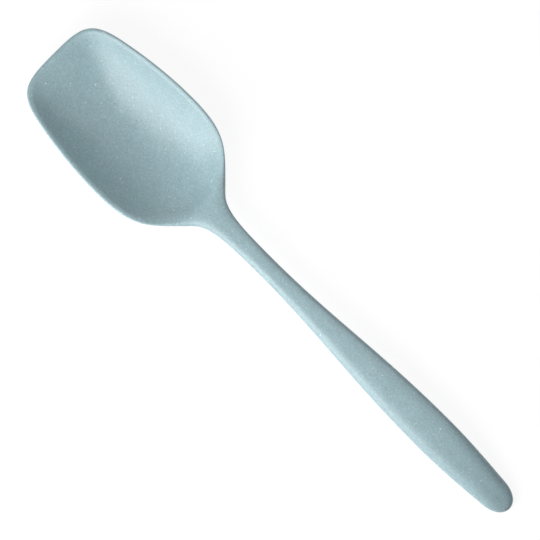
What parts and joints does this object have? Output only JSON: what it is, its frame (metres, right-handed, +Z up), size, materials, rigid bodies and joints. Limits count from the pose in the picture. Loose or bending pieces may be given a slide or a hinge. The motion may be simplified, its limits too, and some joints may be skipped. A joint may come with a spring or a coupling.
{
  "type": "cooking spoon",
  "caption": "Long cooking spoon with a deep, squared-off bowl, a slim neck and a swelling round grip, in one soft speckled skin over a stiff core.",
  "frame": {"origin": "on the table under the middle of the spoon's length and width, with the spoon lying bowl up", "axes": "+X from the tip of the bowl to the end of the handle, +Z up out of the bowl, +Y to the left of someone who looks from the tip to the handle"},
  "size_m": [0.3, 0.063, 0.0199],
  "materials": {
    "speckled_silicone": "satin, with fine pale specks",
    "core_nylon": "as moulded",
    "rod_steel": "drawn"
  },
  "bodies": {
    "root": {"silicone_body": "speckled_silicone", "bowl_core": "core_nylon", "grip_core": "core_nylon", "spine_rod": "rod_steel"}
  },
  "joints": []
}
